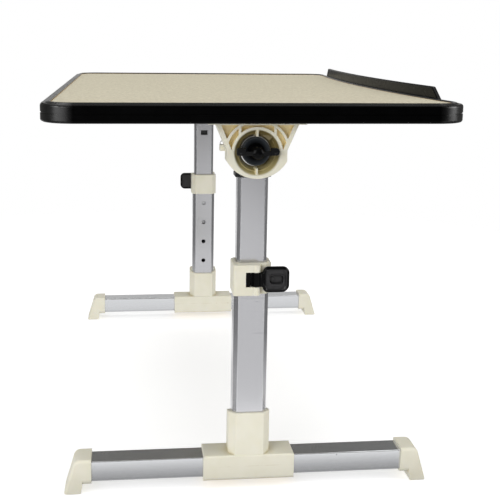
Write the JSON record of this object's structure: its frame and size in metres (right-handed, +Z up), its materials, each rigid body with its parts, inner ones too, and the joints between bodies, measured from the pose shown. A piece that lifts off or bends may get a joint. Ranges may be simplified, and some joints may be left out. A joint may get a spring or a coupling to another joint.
{
  "type": "overbed table",
  "caption": "Low tilting overbed table: beige laminated top with black edge and book lip on two clamped telescopic aluminium legs with cream plastic feet.",
  "frame": {"origin": "on the supporting surface, under the middle of the table's bounding box", "axes": "+X towards the user's side (the lip), +Y along the table, +Z up"},
  "size_m": [0.38, 0.6, 0.3852],
  "materials": {
    "beige_laminate": "leather grain, satin",
    "board_core": "raw particle board",
    "backing_paper": "plain matt sheet",
    "bumper_black": "soft moulded PVC, satin",
    "cream_plastic": "moulded, satin",
    "black_plastic": "moulded, fine texture",
    "aluminium_tube": "satin anodised",
    "aluminium_bar": "satin anodised",
    "zinc_steel": "zinc plated",
    "bright_washer": "bright",
    "foot_rubber": "matt"
  },
  "bodies": {
    "left_base": {"left_foot_bar": "aluminium_bar", "left_foot_cap_front": "cream_plastic", "left_foot_cap_rear": "cream_plastic", "left_foot_pad_front": "foot_rubber", "left_foot_pad_rear": "foot_rubber", "left_tee_connector": "cream_plastic", "left_foot_bolt": "zinc_steel", "left_outer_tube": "aluminium_tube", "left_tube_plug": "black_plastic", "left_clamp_collar": "cream_plastic", "left_lever_pin": "zinc_steel", "left_brake_pad": "black_plastic"},
    "left_lever": {"left_clamp_lever": "black_plastic"},
    "left_mast": {"left_inner_tube": "aluminium_tube", "left_inner_plug": "black_plastic", "left_snap_spring": "zinc_steel", "left_leg_head": "black_plastic", "left_pivot_bolt": "zinc_steel", "left_plunger_spring": "zinc_steel"},
    "left_button": {"left_snap_button": "zinc_steel"},
    "left_knob": {"left_lock_knob": "black_plastic", "left_knob_washer": "bright_washer"},
    "left_plunger": {"left_index_plunger": "cream_plastic", "left_pull_ring": "zinc_steel"},
    "right_base": {"right_foot_bar": "aluminium_bar", "right_foot_cap_front": "cream_plastic", "right_foot_cap_rear": "cream_plastic", "right_foot_pad_front": "foot_rubber", "right_foot_pad_rear": "foot_rubber", "right_tee_connector": "cream_plastic", "right_foot_bolt": "zinc_steel", "right_outer_tube": "aluminium_tube", "right_tube_plug": "black_plastic", "right_clamp_collar": "cream_plastic", "right_lever_pin": "zinc_steel", "right_brake_pad": "black_plastic"},
    "right_lever": {"right_clamp_lever": "black_plastic"},
    "right_mast": {"right_inner_tube": "aluminium_tube", "right_inner_plug": "black_plastic", "right_snap_spring": "zinc_steel", "right_leg_head": "black_plastic", "right_pivot_bolt": "zinc_steel", "right_plunger_spring": "zinc_steel"},
    "right_button": {"right_snap_button": "zinc_steel"},
    "right_knob": {"right_lock_knob": "black_plastic", "right_knob_washer": "bright_washer"},
    "right_plunger": {"right_index_plunger": "cream_plastic", "right_pull_ring": "zinc_steel"},
    "tabletop": {"top_board": "board_core", "top_laminate": "beige_laminate", "backing_sheet": "backing_paper", "edge_bumper": "bumper_black", "book_lip": "bumper_black", "left_tilt_bracket": "cream_plastic", "left_bracket_screws": "zinc_steel", "right_tilt_bracket": "cream_plastic", "right_bracket_screws": "zinc_steel"}
  },
  "joints": [
    {"name": "left_height", "type": "slide", "parent": "left_base", "child": "left_mast", "axis": [0, 0, 1], "range_m": [-0.06, 0.03]},
    {"name": "tilt", "type": "hinge", "parent": "left_mast", "child": "tabletop", "pos_m": [0, -0.277, 0.33], "axis": [0, 1, 0], "range_deg": [0, 30]},
    {"name": "right_tilt", "type": "hinge", "parent": "tabletop", "child": "right_mast", "pos_m": [0, 0.277, 0.33], "axis": [0, 1, 0], "range_deg": [-30, 0]},
    {"name": "right_height", "type": "slide", "parent": "right_mast", "child": "right_base", "axis": [0, 0, 1], "range_m": [-0.03, 0.06]},
    {"name": "left_clamp", "type": "hinge", "parent": "left_base", "child": "left_lever", "pos_m": [0.0032, -0.2725, 0.2104], "axis": [0, 0, -1], "range_deg": [0, 90]},
    {"name": "left_lock", "type": "hinge", "parent": "left_mast", "child": "left_knob", "pos_m": [0, -0.285, 0.33], "axis": [0, -1, 0], "range_deg": [0, 90]},
    {"name": "left_index", "type": "slide", "parent": "left_mast", "child": "left_plunger", "axis": [-1, 0, 0], "range_m": [0, 0.003], "stiffness_N_per_m": 300, "springref_m": -0.002},
    {"name": "left_snap", "type": "slide", "parent": "left_mast", "child": "left_button", "axis": [0, -1, 0], "range_m": [0, 0.0025], "stiffness_N_per_m": 600, "springref_m": -0.002},
    {"name": "right_clamp", "type": "hinge", "parent": "right_base", "child": "right_lever", "pos_m": [-0.0032, 0.2725, 0.2104], "axis": [0, 0, -1], "range_deg": [0, 90]},
    {"name": "right_lock", "type": "hinge", "parent": "right_mast", "child": "right_knob", "pos_m": [0, 0.285, 0.33], "axis": [0, 1, 0], "range_deg": [0, 90]},
    {"name": "right_index", "type": "slide", "parent": "right_mast", "child": "right_plunger", "axis": [1, 0, 0], "range_m": [0, 0.003], "stiffness_N_per_m": 300, "springref_m": -0.002},
    {"name": "right_snap", "type": "slide", "parent": "right_mast", "child": "right_button", "axis": [0, 1, 0], "range_m": [0, 0.0025], "stiffness_N_per_m": 600, "springref_m": -0.002}
  ],
  "couplings": [
    {"joint": "right_tilt", "follows": "tilt", "ratio": -1},
    {"joint": "right_height", "follows": "left_height", "ratio": -1}
  ]
}
